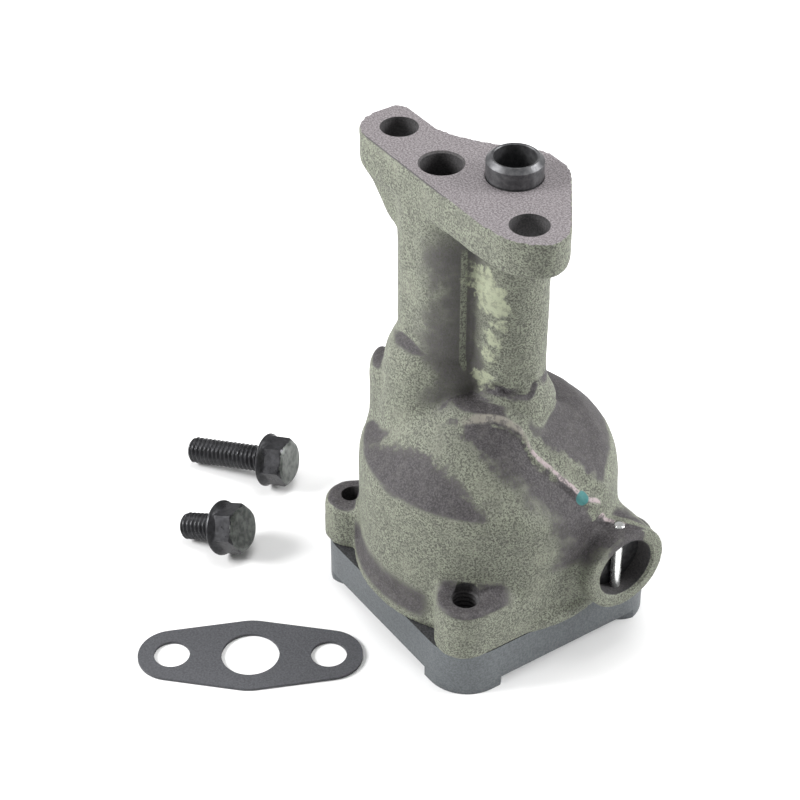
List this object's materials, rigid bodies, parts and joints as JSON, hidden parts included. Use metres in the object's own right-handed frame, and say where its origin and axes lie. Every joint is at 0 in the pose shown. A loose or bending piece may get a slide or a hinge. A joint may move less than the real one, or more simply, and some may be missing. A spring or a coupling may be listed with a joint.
{
  "type": "engine oil pump",
  "caption": "Gerotor engine oil pump: cast bowl housing on a tall bolt-on neck, hex shaft drive, relief valve boss, bottom pickup inlet, with loose gasket and flanged bolts.",
  "frame": {"origin": "on the drive axis, in the machined face that bolts to the engine block", "axes": "+Z out of the mounting face towards the engine block, along the drive axis; +X along the relief valve bore towards its open mouth; the feet are 137 mm below"},
  "size_m": [0.1391, 0.1348, 0.1428],
  "materials": {
    "casting": "sand-cast, oiled, speckled grey-green",
    "cover_casting": "dark machined cast plate",
    "sintered_steel": "sintered, ground faces",
    "ground_steel": "ground",
    "spring_steel": "drawn wire",
    "dark_steel": "oiled",
    "bright_steel": "bright drawn",
    "black_steel": "black oxide, satin",
    "black_oxide": "black oxide",
    "gasket": "matt fibre sheet"
  },
  "bodies": {
    "pump_body": {"housing": "casting", "cover": "cover_casting", "pilot_sleeve": "black_steel", "relief_cap": "dark_steel", "retaining_pin": "bright_steel", "cover_screw_left": "black_steel", "cover_screw_back": "black_steel", "cover_screw_right": "black_steel", "relief_spring": "spring_steel"},
    "drive": {"drive_shaft": "ground_steel", "inner_rotor": "sintered_steel"},
    "outer": {"outer_rotor": "sintered_steel"},
    "valve": {"relief_valve": "ground_steel"},
    "gasket": {"pickup_gasket": "gasket"},
    "long_bolt": {"pickup_bolt_long": "black_oxide"},
    "short_bolt": {"pickup_bolt_short": "black_oxide"}
  },
  "joints": [
    {"name": "drive_spin", "type": "hinge", "parent": "pump_body", "child": "drive", "pos_m": [0, 0, 0], "axis": [0, 0, 1], "continuous": true},
    {"name": "outer_rotor_spin", "type": "hinge", "parent": "pump_body", "child": "outer", "pos_m": [-0.00167, -0.00212, 0], "axis": [0, 0, 1], "continuous": true},
    {"name": "relief_slide", "type": "slide", "parent": "pump_body", "child": "valve", "axis": [1, 0, 0], "range_m": [0, 0.0028], "stiffness_N_per_m": 300, "springref_m": -0.001, "deforming": ["relief_spring"]},
    {"name": "gasket_lift", "type": "slide", "parent": "pump_body", "child": "gasket", "axis": [0, 0, 1], "range_m": [0, 0.03]},
    {"name": "long_bolt_lift", "type": "slide", "parent": "pump_body", "child": "long_bolt", "axis": [0, 0, 1], "range_m": [0, 0.03]},
    {"name": "short_bolt_lift", "type": "slide", "parent": "pump_body", "child": "short_bolt", "axis": [0, 0, 1], "range_m": [0, 0.03]}
  ],
  "couplings": [
    {"joint": "outer_rotor_spin", "follows": "drive_spin", "ratio": 0.8}
  ]
}
